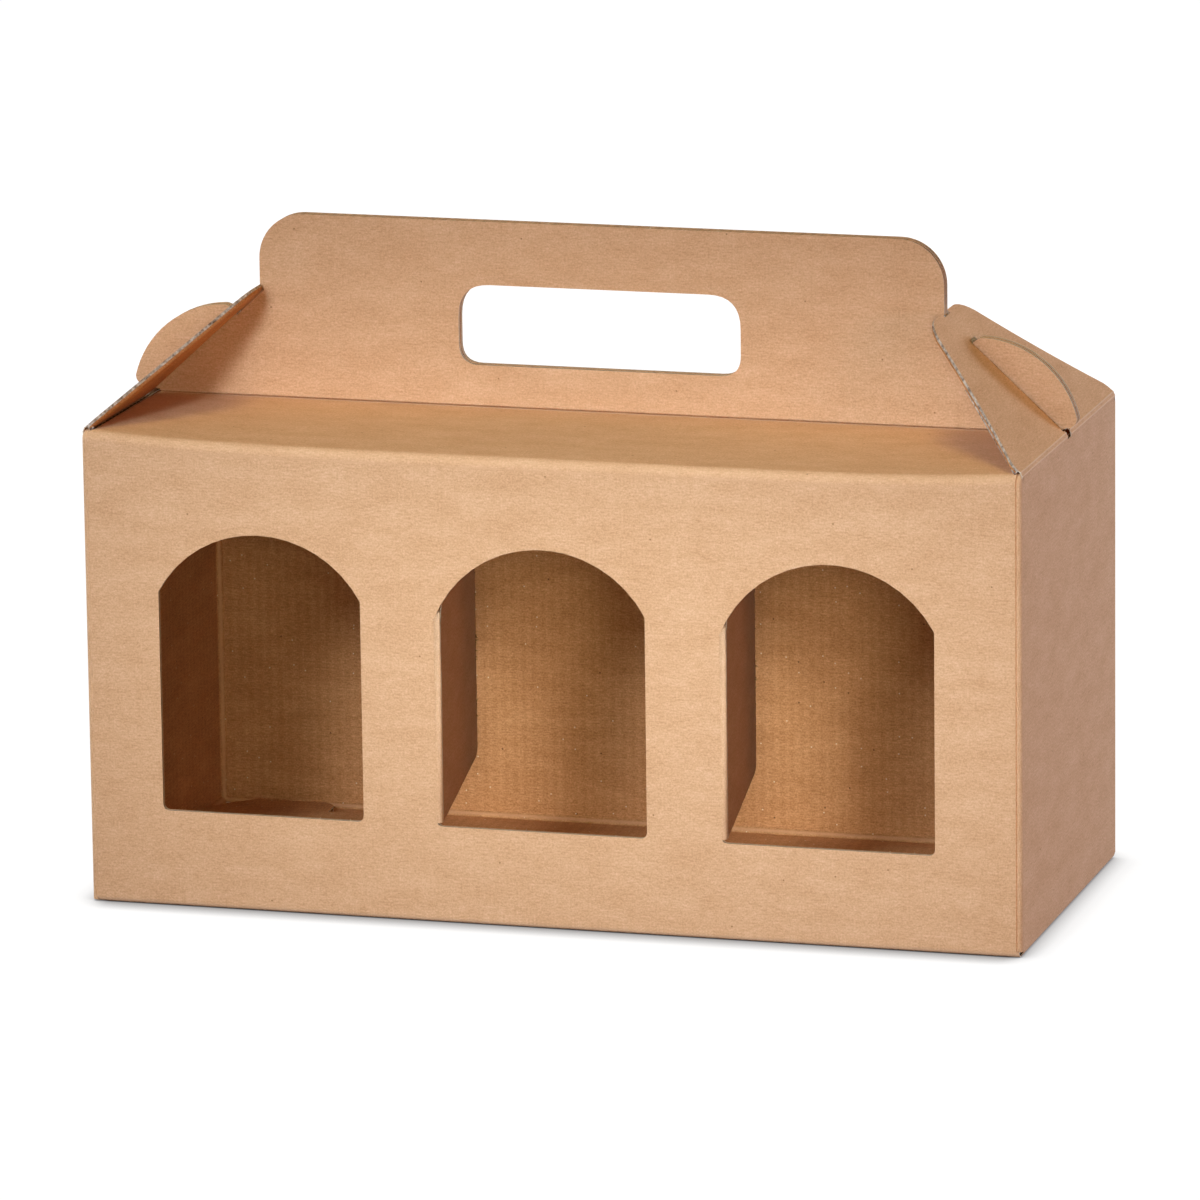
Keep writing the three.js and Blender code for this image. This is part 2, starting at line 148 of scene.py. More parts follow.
def deselect_in_mesh(kind):
    """Leaves nothing selected in the active mesh."""
    mode("EDIT")
    bpy.ops.mesh.select_mode(type=kind)
    bpy.ops.mesh.select_all(action="DESELECT")
    mode("OBJECT")


def pick_faces(piece, wanted):
    """Opens the active piece in edit mode with only the wanted faces selected."""
    deselect_in_mesh("FACE")
    for face in piece.data.polygons:
        face.select = wanted(face)
    mode("EDIT")


def trim(piece, point, outward):
    """Cuts away what lies past a point in the outward direction, and closes the cut."""
    edit_all(piece)
    bpy.ops.mesh.bisect(plane_co=point, plane_no=outward, clear_outer=True, use_fill=True,
                        threshold=CUT_LIMIT)
    mode("OBJECT")


def slice_across(piece, along, places):
    """Adds edges across a piece at some places along it, so that it can be bowed."""
    for place in places:
        edit_all(piece)
        bpy.ops.mesh.bisect(plane_co=place * along, plane_no=along, threshold=CUT_LIMIT)
        mode("OBJECT")


def join(name, pieces):
    activate(pieces[0])
    for piece in pieces:
        piece.select_set(True)
    bpy.ops.object.join()
    pieces[0].name = name
    return pieces[0]


def facing_of(node, hint):
    """The outward direction of a flat plate: its largest face on the hinted side."""
    faces = [face for face in frame["nodes"][node].data.polygons if face.normal.dot(hint) > FLAT]
    return max(faces, key=lambda face: face.area).normal.copy()


# %% [markdown]
# Paper is drawn on the flat blank: one UV map, in metres, runs on across the folds, with U along the
# fibres and V along the flutes. Both then keep their direction on every panel, as on a real blank.

# %% Laying the paper's UV map
PAPER = "Paper"


def lay_paper(piece, fibres, flutes, origin, start):
    layer = piece.data.uv_layers.new(name=PAPER)
    origin = Vector(origin)
    for loop in piece.data.loops:
        place = piece.data.vertices[loop.vertex_index].co - origin
        layer.data[loop.index].uv = (start[0] + place.dot(fibres), start[1] + place.dot(flutes))


# %% [markdown]
# Kraft liner is unbleached paper. Its long fibres lie mostly one way and show as fine pale and dark streaks over
# soft clouds. Three noises are added up and read through a colour ramp. Over the glue lines of the flutes the
# paper stands a little proud, the washboard that shows in slanting light, so a sine joins the bump; a share of
# that sine is also painted into the colour, as light and shade on the ribs. A picture of paper would be quicker,
# but it would repeat.

# %% Kraft liner as a material
GRAIN_SIZE = 0.6
# Length and width in millimetres, detail, roughness, and weight in the sum.
PATTERNS = ((2.4, 0.55, 2.0, 0.6, 1.0),  # fibres, drawn wider than they are so that they show
            (18.0, 7.0, 5.0, 0.7, 1.0),  # clouds
            (GRAIN_SIZE, GRAIN_SIZE, 2.0, 0.7, 1.7))  # grain
PITCH_MM = FLUTE_PITCH / MM
DARK_LEVEL, PALE_LEVEL = 1.25, 2.45  # sums at the two ends of the ramp
RIB_PAINTED_SHADE = 0.25  # share of the washboard painted into the colour, as light and shade on the ribs
RELIEF_DEPTH = 0.05 * MM
KRAFT_ROUGHNESS = 0.85
KRAFT_IOR = 1.45
KRAFT_GLAZE = 0.25  # specular level: hardly any shine


def linear(colour):
    """Turns an sRGB hex colour into the linear values that shaders use."""
    channels = [int(colour[place:place + 2], 16) / 255 for place in (1, 3, 5)]
    return [c / 12.92 if c <= 0.04045 else ((c + 0.055) / 1.055) ** 2.4 for c in channels] + [1]


def fill(tree, node, inputs):
    """Fills sockets of a node with values or links."""
    for socket, value in inputs.items():
        if isinstance(value, bpy.types.NodeSocket):
            tree.links.new(value, node.inputs[socket])
        else:
            node.inputs[socket].default_value = value


def add_node(tree, kind, inputs=None, **settings):
    """Adds a ShaderNode of a kind, sets its fields and fills its sockets."""
    node = tree.nodes.new("ShaderNode" + kind)
    for field, value in settings.items():
        setattr(node, field, value)
    fill(tree, node, inputs or {})
    return node


def calculate(tree, operation, *values):
    """The result of a Math node."""
    return add_node(tree, "Math", dict(enumerate(values)), operation=operation).outputs[0]


def map_range(tree, value, low, high, least=0.0, most=1.0):
    """A value between low and high, mapped to a range from least to most."""
    return add_node(tree, "MapRange", {"Value": value, "From Min": low, "From Max": high,
                                       "To Min": least, "To Max": most}).outputs["Result"]


def mix(tree, share, first, second):
    """Two colours mixed, by the share of the second."""
    return add_node(tree, "Mix", {"Factor": share, "A": first, "B": second},
                    data_type="RGBA").outputs["Result"]


def new_material(name):
    """A material with nodes, its tree, and the shader in it."""
    material = bpy.data.materials.new(name)
    material.use_nodes = True
    return material, material.node_tree, material.node_tree.nodes["Principled BSDF"]


def kraft_liner(name, dark, mid, pale, pale_colour, relief, washboard, specks):
    """Paper with fibres, grain and clouds. A speck has a colour, a spacing, a radius and a share."""
    material, tree, shader = new_material(name)
    place = add_node(tree, "UVMap", uv_map=PAPER).outputs["UV"]
    flat = add_node(tree, "Mapping", {
        "Vector": place, "Scale": (1 / MM, 1 / MM, 1)}).outputs["Vector"]
    level = 0.0
    for length, width, detail, roughness, weight in PATTERNS:
        scaled = add_node(tree, "Mapping", {
            "Vector": flat, "Scale": (1 / length, 1 / width, 1)}).outputs["Vector"]
        pattern = add_node(tree, "TexNoise", {
            "Vector": scaled, "Scale": 1.0, "Detail": detail, "Roughness": roughness}).outputs["Fac"]
        level = calculate(tree, "MULTIPLY_ADD", pattern, weight, level)
    across = add_node(tree, "SeparateXYZ", {"Vector": flat}).outputs["X"]
    wave = calculate(tree, "SINE", calculate(tree, "MULTIPLY", across, 2 * math.pi / PITCH_MM))
    ribbed = calculate(tree, "MULTIPLY_ADD", wave, washboard * RIB_PAINTED_SHADE, level)
    tone = map_range(tree, ribbed, DARK_LEVEL, PALE_LEVEL)
    ramp = add_node(tree, "ValToRGB", {"Fac": tone})
    ramp.color_ramp.elements[0].color = linear(dark)
    ramp.color_ramp.elements[1].color = linear(pale)
    ramp.color_ramp.elements.new(0.5).color = linear(mid)
    colour = ramp.outputs["Color"]
    for tint, spacing, radius, share in specks:
        cells = add_node(tree, "TexVoronoi", {
            "Vector": flat, "Scale": 1 / spacing}, voronoi_dimensions="2D")
        rim = radius / spacing
        dot = map_range(tree, cells.outputs["Distance"], rim, 0.5 * rim)
        chance = add_node(tree, "SeparateColor", {"Color": cells.outputs["Color"]})
        chosen = calculate(tree, "LESS_THAN", chance.outputs["Red"], share)
        colour = mix(tree, calculate(tree, "MULTIPLY", dot, chosen), colour, linear(tint))
    # The attribute pales the paper: wear where folds stretch it, and on some folds a painted highlight.
    wear_and_highlight = add_node(tree, "Attribute", attribute_name="wear_and_highlight").outputs["Fac"]
    colour = mix(tree, wear_and_highlight, colour, linear(pale_colour))
    ribs = calculate(tree, "MULTIPLY", wave, washboard)
    height = calculate(tree, "MULTIPLY_ADD", level, relief, ribs)
    bump = add_node(tree, "Bump", {"Height": height, "Distance": RELIEF_DEPTH})
    fill(tree, shader, {"Base Color": colour, "Normal": bump.outputs["Normal"], "IOR": KRAFT_IOR,
                        "Roughness": KRAFT_ROUGHNESS, "Specular IOR Level": KRAFT_GLAZE})
    return material


# Smooth outer liner: light warm brown, matt, with fine streaks and a rare dark speck.
OUTSIDE = kraft_liner("kraft_liner_outside", "#c39369", "#d9ac83", "#ebc39d", "#efd0b1",
                      relief=0.35, washboard=0.04, specks=[("#a87a50", 8.0, 0.35, 0.05)])
# Inner liner: darker and more saturated than the outer one, in part as painted shade for the inside of the box;
# rougher, with dark and pale specks and a clear washboard.
INSIDE = kraft_liner("inside_liner_and_painted_shade", "#a06a3c", "#c38753", "#dfa56f", "#daa473",
                     relief=0.5, washboard=0.22,
                     specks=[("#6e4a2c", 8.0, 0.35, 0.05), ("#e6cfa6", 4.0, 0.28, 0.12)])
print("liners:", OUTSIDE.name, INSIDE.name)

# %% [markdown]
# Four papers show only as narrow edges, where two tones of fibre on Object coordinates are enough.
# What tells them apart is the contrast and how sharply dark and pale meet.

# %% Papers that show at the edges
EDGE_ROUGHNESS = 0.95
EDGE_GLAZE = 0.15


def plain_paper(name, dark, pale, size=GRAIN_SIZE, softness=0.5):
    """Paper seen as a narrow edge: two tones of fibre, with soft or sharp bounds."""
    material, tree, shader = new_material(name)
    place = add_node(tree, "TexCoord").outputs["Object"]
    fleck = add_node(tree, "TexNoise", {
        "Vector": place, "Scale": 1 / (size * MM), "Detail": 3.0}).outputs["Fac"]
    fleck = map_range(tree, fleck, 0.5 - softness, 0.5 + softness)
    colour = mix(tree, fleck, linear(dark), linear(pale))
    fill(tree, shader, {"Base Color": colour, "Roughness": EDGE_ROUGHNESS,
                        "Specular IOR Level": EDGE_GLAZE})
    return material


# Wavy paper: rough and brown, nearly always in the shade between the liners.
FLUTING = plain_paper("fluting_paper_rough", "#846039", "#b08a58")
# Cut edge of a liner: a pale line, where the knife opened fresh fibre.
CUT_EDGE = plain_paper("kraft_liner_cut_edge", "#d3bd9f", "#efe3cf")
# Board that the die pressed shut: pale and brown mixed, with no open flutes.
CRUSHED = plain_paper("kraft_board_crushed_cut", "#9c7d58", "#d8c3a2")
# Edge torn by a blunt rule: grey tufts, with painted shade for the dark gaps between them.
TORN = plain_paper("kraft_board_torn_edge", "#6a5340", "#d9cabb", size=1.2, softness=0.2)
print("edges:", FLUTING.name, CUT_EDGE.name, CRUSHED.name, TORN.name)

# %% [markdown]
# The two broad faces of a plate become liners. A copy keeps only the faces that look one way, and
# Solidify gives them the paper's thickness. Extruding would do too, but Solidify also gives the rim
# a paper of its own, for the cut edge.

# %% Liner from a plate's broad face
def liner(core, name, facing, paper, rim):
    """The face of a plate that looks one way, as a sheet of paper with its own thickness."""
    sheet = new_object(name, core.data.copy())
    pick_faces(sheet, lambda face: face.normal.dot(facing) < FLAT)
    bpy.ops.mesh.delete(type="FACE")
    mode("OBJECT")
    sheet.data.materials.append(paper)
    sheet.data.materials.append(rim)
    finish_with(sheet, "SOLIDIFY", thickness=LINER, offset=-1.0, material_offset_rim=1)
    return sheet


# %% [markdown]
# Between the liners goes a sheet in waves. A grid is laid over the plate, its points are lifted by a
# sine, and a Boolean cuts it to the plate's outline, a little inside the cut edge. Every edge of the
# finished board then shows open flutes from any side, which a drawn pattern would not.

# %% Wavy paper between the liners
FLUTE_STEPS = 8  # straight pieces in one wave
FLUTE_RECESS = 0.12 * MM  # the wavy paper ends this far inside the plate
FLUTE_HEIGHT = (BOARD - 2 * LINER - MEDIUM) / 2


def wavy_sheet(core, name, facing, flutes, bends, climb):
    """A corrugated sheet half way through the board, cut to the outline of the plate."""
    fibres = flutes.cross(facing).normalized()
    turn = Matrix((fibres, flutes, facing)).transposed().to_4x4()
    flat = [turn.inverted() @ vertex.co for vertex in core.data.vertices]
    low = [min(point[axis] for point in flat) for axis in range(3)]
    high = [max(point[axis] for point in flat) for axis in range(3)]
    columns = math.ceil((high[0] - low[0]) / FLUTE_PITCH) * FLUTE_STEPS + FLUTE_STEPS
    rows = sorted([low[1] - MM, *bends, high[1] + MM])
    first = math.floor(low[0] / FLUTE_PITCH) * FLUTE_PITCH
    bpy.ops.mesh.primitive_grid_add(x_subdivisions=columns, y_subdivisions=len(rows) - 1, size=1)
    sheet = bpy.context.object
    sheet.name = name
    for vertex in sheet.data.vertices:
        column = round((vertex.co.x + 0.5) * columns)
        row = rows[round((vertex.co.y + 0.5) * (len(rows) - 1))]
        wave = FLUTE_HEIGHT * math.sin(2 * math.pi * column / FLUTE_STEPS)
        level = climb(row) if climb else high[2] - BOARD / 2
        place = Vector((first + column * FLUTE_PITCH / FLUTE_STEPS, row, level + wave))
        vertex.co = turn @ place
    finish_with(sheet, "SOLIDIFY", thickness=MEDIUM, offset=0.0)
    mould = new_object(name + "_mould", core.data.copy())
    edit_all(mould)
    bpy.ops.transform.shrink_fatten(value=-FLUTE_RECESS)
    mode("OBJECT")
    finish_with(sheet, "BOOLEAN", object=mould, operation="INTERSECT", solver="MANIFOLD")
    bpy.data.objects.remove(mould)
    sheet.data.materials.clear()
    sheet.data.materials.append(FLUTING)
    return sheet


# %% [markdown]
# The free edges of the divider flaps are ragged. They are subdivided and moved in by a noise. A
# Displace modifier would do the same, but here only one edge has to move.

# %% Uneven edge
FRAY_DEPTH = 1.8 * MM
FRAY_STEP = 1.6 * MM  # size of one bite along the edge
FRAY_SHARE = 0.2  # raises the noise, so that more than half of the edge is bitten
FRAY_CUTS = 60
FRAY_BAND = FRAY_DEPTH / 10  # points this near to the furthest one lie on the edge


def fray(core, outward):
    """Makes the edge of a plate that lies furthest out uneven, as a blunt rule leaves it."""
    edge_start = max(vertex.co.dot(outward) for vertex in core.data.vertices) - FRAY_BAND
    deselect_in_mesh("EDGE")
    for edge in core.data.edges:
        first, second = (core.data.vertices[place].co for place in edge.vertices)
        outside = min(first.dot(outward), second.dot(outward)) > edge_start
        edge.select = outside and abs(first.z - second.z) > BOARD
    mode("EDIT")
    bpy.ops.mesh.subdivide(number_cuts=FRAY_CUTS)
    mode("OBJECT")
    for vertex in core.data.vertices:
        if vertex.co.dot(outward) > edge_start:
            bite = noise.noise(Vector((0, 0, vertex.co.z / FRAY_STEP)))
            vertex.co -= outward * FRAY_DEPTH * max(0.0, bite + FRAY_SHARE)


# %% [markdown]
# A blunt rule pressed the gable flaps thin along their edges, but not at the slit and the fold. The
# inner face is inset, and the rim's outer points move towards the outside liner. A bevel would round
# the edge, where the rule left a flat slope.

# %% Pressed edge
GABLE_EDGE = 0.85 * MM  # thickness that is left
PRESSED_RIM = 0.6 * MM  # width of the slope
SLIT_ROOM = 5 * MM  # no pressing this near to the slit
FOLD_ROOM = 0.1 * MM  # nor this near to the fold


def press_edges(core, facing, uphill):
    """Presses a gable plate thinner along its outer edges, from the inside."""
    pick_faces(core, lambda face: face.normal.dot(facing) < -FLAT)
    bpy.ops.mesh.inset(thickness=PRESSED_RIM)
    mode("OBJECT")
    rim = set()
    for face in core.data.polygons:
        if abs(face.normal.dot(facing)) < FLAT:
            rim.update(face.vertices)
    outer = max(vertex.co.dot(facing) for vertex in core.data.vertices)
    foot = min(vertex.co.dot(uphill) for vertex in core.data.vertices)
    for place in rim:
        vertex = core.data.vertices[place]
        inner = vertex.co.dot(facing) < outer - BOARD / 2
        height = vertex.co.dot(uphill) - foot
        in_slit = abs(vertex.co.y) < SLIT_ROOM and height < SLIT_TOP
        if inner and height > FOLD_ROOM and not in_slit:
            vertex.co += (BOARD - GABLE_EDGE) * facing


# %% [markdown]
# At the windows, the hand slot and the ears the die has pressed the board shut, so no flutes show.
# The edge faces of the plate inside a given box are copied as a skin, just inside the cut.

# %% Crushed edge
CRUSH_DEPTH = 0.05 * MM


def crushed_cut(core, name, facing, low, high, paper):
    """The walls of openings between two corners, where the die has pressed the board shut."""
    def elsewhere(face):
        within = low.x < face.center.x < high.x and low.z < face.center.z < high.z
        return not within or abs(face.normal.dot(facing)) > FLAT

    skin = new_object(name, core.data.copy())
    pick_faces(skin, elsewhere)
    bpy.ops.mesh.delete(type="FACE")
    mode("OBJECT")
    for vertex in skin.data.vertices:
        vertex.co -= CRUSH_DEPTH * vertex.normal
    skin.data.materials.append(paper)
    return skin


# %% [markdown]
# The corners hold the long edges of the roof up, and between them the board sags a little. Panels
# and folds are sliced across and lowered by one function, so that both get the same curve. It is
# deepest at the middle of the edge, and nothing at the corners and the handle.

# %% Sag of the long edges
SAG = 2.5 * MM
SAG_POWER = 5  # keeps the middle straight and turns up near the corners
SAG_ROOM = 0.5 * MM
TOP_FOLD_HALF = HALF - CORNER_FOLD
WALL_TOP = ROOF - TOP_FOLD - SAG - SAG_ROOM
BOW_STEPS = 32
BOW_PLACES = [TOP_FOLD_HALF * (2 * step / BOW_STEPS - 1) for step in range(1, BOW_STEPS)]


def sag(piece):
    for vertex in piece.data.vertices:
        share = min(1.0, abs(vertex.co.x) / TOP_FOLD_HALF)
        outward = (abs(vertex.co.y) + HANDLE_FACE) / (BACK + HANDLE_FACE)
        upward = min(1.0, (vertex.co.z - WALL_TOP) / (ROOF - TOP_FOLD - WALL_TOP))
        vertex.co.z -= SAG * (1 - share ** SAG_POWER) * max(0.0, outward) * max(0.0, upward)


# %% [markdown]
# One function makes a board from a plate. It trims the plate where folds will go, treats its edges,
# lays liners and waves, joins them to one piece, and ties that to the body its plate rides on.

# %% From plate to corrugated board
BOARD_SMOOTH = math.radians(35)
bodies = frame["record"]["behaviour"]["bodies"]
body_of = {node: body for body, nodes in bodies.items() for node in nodes}


def board(node, facing, flutes, trims=(), start=(0, 0), origin=(0, 0, 0), bends=(), climb=None,
          frayed=None, crushed=None, pressed=False, bowed=False):
    """Replaces one plate with corrugated board. Facing is the side of the outside liner."""
    core = copy_of(node, node + "_core")
    for point, outward in trims:
        trim(core, point, outward)
    if frayed:
        fray(core, frayed)
    if pressed:
        press_edges(core, facing, flutes)
    if bowed:
        slice_across(core, X, BOW_PLACES)
    rim = TORN if pressed else CUT_EDGE
    layers = [liner(core, node + "_outside", facing, OUTSIDE, rim),
              liner(core, node + "_inside", -facing, INSIDE, rim),
              wavy_sheet(core, node + "_medium", facing, flutes, bends, climb)]
    if crushed:
        layers.append(crushed_cut(core, node + "_crushed", facing, *crushed))
    bpy.data.objects.remove(core)
    piece = join(node + "_board", layers)
    bpy.ops.object.shade_smooth_by_angle(angle=BOARD_SMOOTH)
    lay_paper(piece, flutes.cross(facing).normalized(), flutes, origin, start)
    if bowed:
        sag(piece)
    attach(piece, body_of[node])
    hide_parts(node)
    print(piece.name, "on", body_of[node], len(piece.data.polygons), "faces")


# %% [markdown]
# The walls stand with their flutes upright, as board is cut so that a box carries weight. Their
# edges are trimmed back where the folds will go. A box that is clear of the wall's own edges tells
# which edges lie in the windows and are crushed.

# %% Walls
WINDOWS_LOW = Vector((MM - HALF, 0, WINDOW_SILL - MM))
WINDOWS_HIGH = Vector((HALF - 4 * MM, 0, ROOF - 10 * MM))
wall_trims = [(WALL_TOP * Z, Z), (TOP_FOLD_HALF * X, X), (-TOP_FOLD_HALF * X, -X)]
board("front_wall", -Y, Z, wall_trims, crushed=(WINDOWS_LOW, WINDOWS_HIGH, CRUSHED))
board("back_wall", Y, Z, wall_trims, start=(2 * HALF + 2 * BACK, 0))
gable_trim = ((ROOF - GABLE_FOLD) * Z, Z)
board("right_side_wall", X, Z, [gable_trim], start=(HALF + BACK, 0))
board("left_side_wall", -X, Z, [gable_trim], start=(-HALF - BACK, 0))
board("glue_flap", X, Z)

# %% [markdown]
# The roof halves lie flat with their flutes from front to back, and turn up into the two handle
# layers. The edges of the hand slot and the ears are crushed, the top edge of the handle is not.

# %% Roof and handle
SLOT_LOW = Vector((-2 * HALF, 0, ROOF + 2 * MM))
SLOT_HIGH = Vector((2 * HALF, 0, ROOF + 40 * MM))
for side, sign in FACES:
    roof_edge = (sign * (BACK - TOP_FOLD) * Y, sign * Y)
    handle_edge = (sign * (HANDLE_FOLD - HANDLE_FACE) * Y, -sign * Y)
    board(side + "_roof_panel", Z, -sign * Y, [roof_edge, handle_edge],
          origin=(0, sign * BACK, 0), start=(0, ROOF), bowed=True)
    handle_foot = ((ROOF + HANDLE_FOLD) * Z, -Z)
    board(side + "_handle_panel", sign * Y, Z, [handle_foot], start=(0, BACK),
          crushed=(SLOT_LOW, SLOT_HIGH, CRUSHED))

# %% [markdown]
# The gable flaps lean in from the end walls, and their flutes run on across the fold. Their top
# corners are rounder than those of the plates. A few straight cuts along a circle round a corner,
# and each one leaves the plate closed.

# %% Gable flaps
TIP_ROUND = 17 * MM  # radius of the round
TIP_MIDDLE = 9.7 * MM  # from the slit to the centre of the round
TIP_TURN = math.radians(48)  # how far the round turns, from the top edge to the side edge
TIP_CUTS = 5
GABLE_LOW = Vector((-2 * HALF, 0, 0))
GABLE_HIGH = Vector((2 * HALF, 0, 2 * ROOF))
gables = {}
for side, sign in SIDES:
    node = side + "_gable_flap"
    hinge = hinges[side + "_gable_swing"]
    facing = facing_of(node, Vector((sign, 0, 1)))
    uphill = facing.cross(Y) * sign
    tip = max((vertex.co - hinge).dot(uphill) for vertex in frame["nodes"][node].data.vertices)
    cuts = [(hinge + uphill * GABLE_FOLD, -uphill)]
    for end in (-1, 1):
        centre = hinge + (tip - TIP_ROUND) * uphill + end * TIP_MIDDLE * Y
        for cut in range(TIP_CUTS):
            turn = TIP_TURN * (cut + 0.5) / TIP_CUTS
            way = math.cos(turn) * uphill + end * math.sin(turn) * Y
            cuts.append((centre + TIP_ROUND * way, way))
    board(node, facing, uphill, cuts, origin=hinge, start=(HALF + BACK, ROOF),
          pressed=True, crushed=(GABLE_LOW, GABLE_HIGH, TORN))
    gables[side] = (hinge, facing, uphill, tip)

# %% [markdown]
# The divider flaps are the pieces cut from two windows, turned into the box on one window edge. Their
# flutes stand upright like those of the wall they come from, and their free edges are ragged.

# %% Divider flaps
dividers = {}
for side in ("left", "right"):
    node = side + "_divider_flap"
    hinge = hinges[side + "_divider_swing"]
    facing = facing_of(node, X)
    ahead = Vector((-facing.y, facing.x, 0))
    board(node, facing, Z, origin=hinge, frayed=ahead)
    dividers[side] = (hinge, facing, ahead)

# %% [markdown]
# The floor flaps climb onto each other, so their wavy paper climbs with them. The two bends of each
# flap are read from the plate's own corners, and the waves follow the straight line between them.

# %% Floor flaps
def climb_of(node, flutes):
    """Where a bent plate's underside changes its slope, and its middle height at each place."""
    lowest = {}
    for vertex in frame["nodes"][node].data.vertices:
        along = round(vertex.co.dot(flutes), 6)
        lowest[along] = min(lowest.get(along, 1), vertex.co.z)
    places = sorted(lowest)

    def middle(along):
        near = min(max(along, places[0]), places[-1])
        before = max(place for place in places if place <= near)
        after = min(place for place in places if place >= near)
        share = 0 if after == before else (near - before) / (after - before)
        height = lowest[before] + share * (lowest[after] - lowest[before]) + BOARD / 2
        return -height
    return places[1:-1], middle


for node, flutes, reach in (("front_floor_flap", Y, BACK), ("left_floor_flap", X, HALF),
                            ("right_floor_flap", -X, HALF), ("back_floor_flap", -Y, BACK),
                            ("floor_lock_tongue", -Y, BACK)):
    bends, middle = climb_of(node, flutes)
    fold_line = (flutes * (FOOT_FOLD - reach), -flutes)
    board(node, -Z, flutes, [fold_line], bends=bends, climb=middle, origin=-reach * flutes)

# %% [markdown]
# A fold is one strip of liner. Its profile is a chain of edges, swept along the fold by Extrude, or by Spin at a
# rounded corner, then given the paper's thickness. A strip across a moving fold has its transform baked and is
# tied to no body here. Stretched paper is paler, and an attribute says how much at each point; on some folds the
# same paling is a painted highlight on a rounded crest.

# %% From profile to fold
FOLD_SMOOTH = math.radians(50)
SPIN_STEPS = 6


def fold(name, profile, wear_and_highlight, facing, bodies, run=None, spin=None, blended=False, paper=OUTSIDE,
         start=(0, 0)):
    """A strip of paper along a fold. Run is the way to extrude; spin is a centre and an axis."""
    mesh = bpy.data.meshes.new(name)
    mesh.from_pydata(profile, [(place, place + 1) for place in range(len(profile) - 1)], [])
    mesh.attributes.new("wear_and_highlight", "FLOAT", "POINT").data.foreach_set("value", wear_and_highlight)
    lengths = [0.0]
    for before, after in zip(profile, profile[1:]):
        lengths.append(lengths[-1] + (after - before).length)
    mesh.attributes.new("arc", "FLOAT", "POINT").data.foreach_set("value", lengths)
    strip = new_object(name, mesh)
    mode("EDIT")
    bpy.ops.mesh.select_mode(type="EDGE")
    bpy.ops.mesh.select_all(action="SELECT")
    if run:
        bpy.ops.mesh.extrude_region_move(TRANSFORM_OT_translate={"value": run})
    else:
        centre, axis = spin
        bpy.ops.mesh.spin(steps=SPIN_STEPS, angle=math.pi / 2, center=centre, axis=axis)
    bpy.ops.mesh.select_all(action="SELECT")
    bpy.ops.mesh.normals_make_consistent(inside=False)
    mode("OBJECT")
    if sum(face.area * face.normal.dot(facing) for face in strip.data.polygons) < 0:
        strip.data.flip_normals()
    strip.data.materials.append(paper)
    strip.data.materials.append(CUT_EDGE)
    finish_with(strip, "SOLIDIFY", thickness=LINER, offset=-1.0, material_offset_rim=1)
    bpy.ops.object.shade_smooth_by_angle(angle=FOLD_SMOOTH)
    layer = strip.data.uv_layers.new(name=PAPER)
    along = run.normalized() if run else X
    arcs = strip.data.attributes["arc"].data
    for loop in strip.data.loops:
        place = strip.data.vertices[loop.vertex_index].co
        arc = arcs[loop.vertex_index].value
        layer.data[loop.index].uv = (start[0] + place.dot(along), start[1] + arc)
    if blended:
        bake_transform(strip)
    elif len(bodies) == 1:
        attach(strip, bodies[0])
    print(strip.name, "on", bodies, len(strip.data.polygons), "faces")
    return strip


def bow(centre, first, second, radius, steps=8, sweep=90.0):
    """Points on an arc about a centre, from the first direction towards the second."""
    turns = [math.radians(sweep * step / steps) for step in range(steps + 1)]
    return [centre + radius * (math.cos(turn) * first + math.sin(turn) * second) for turn in turns]


def paling_over(points, most):
    """Paler towards the middle of a fold with this many points, as stretched paper is, and on some folds as a
    painted highlight.
    """
    return [most * math.sin(math.pi * place / (points - 1)) ** 2 for place in range(points)]


# %% [markdown]
# The walls turn into the roof over a wide soft bend, which sags with the roof. The handle fold is the
# opposite: the board is pressed into a narrow groove, which shows as a dark line with a worn lip.

# %% Folds of the roof
# Paler crest of the bend from wall to roof: a painted highlight, where the rounding faces the lamps.
TOP_HIGHLIGHT = 0.12
HANDLE_FOLD_HALF = HALF - 5.0 * MM
LIP, LIP_RISE = 0.5 * MM, 0.1 * MM  # the worn lip: from the fold outwards, and upwards
MOUTH = 0.2 * MM  # from the fold to where the paper goes under the handle
GROOVE = 0.55 * MM
GROOVE_DEPTH = 2.2 * GROOVE
GROOVE_HEIGHT = 0.8 * GROOVE
GROOVE_EDGE = 0.2 * GROOVE
HANDLE_WEAR = [0, 0.7, 0, 0, 0, 0, 0.2, 0]  # at each point of the profile
for side, sign in FACES:
    out = sign * Y
    centre = Vector((-TOP_FOLD_HALF, sign * (BACK - TOP_FOLD), ROOF - TOP_FOLD))
    wall_end = Vector((-TOP_FOLD_HALF, sign * BACK, WALL_TOP))
    profile = [wall_end, *bow(centre, out, Z, TOP_FOLD)]
    strip = fold(side + "_top_fold", profile, [0, *paling_over(9, TOP_HIGHLIGHT)], out + Z,
                 ("carton", side + "_roof"), run=2 * TOP_FOLD_HALF * X, start=(0, WALL_TOP))
    slice_across(strip, X, BOW_PLACES)
    sag(strip)
    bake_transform(strip)
    foot = Vector((-HANDLE_FOLD_HALF, -sign * HANDLE_FACE, ROOF))
    profile = [foot + HANDLE_FOLD * out, foot + LIP * out + LIP_RISE * Z, foot + MOUTH * out,
               foot - GROOVE_DEPTH * out, foot - GROOVE_DEPTH * out + GROOVE_HEIGHT * Z,
               foot - GROOVE_EDGE * out + GROOVE_HEIGHT * Z, foot + GROOVE * Z,
               foot + HANDLE_FOLD * Z]
    fold(side + "_handle_fold", profile, HANDLE_WEAR, out + Z,
         (side + "_roof", side + "_handle"), run=2 * HANDLE_FOLD_HALF * X, blended=True,
         start=(0, ROOF + BACK))

# %% [markdown]
# A gable fold is pressed in along its line, and beside it the paper stands up in two worn ridges.
# The slit runs into the fold, so each fold is two strips with room for the ears.

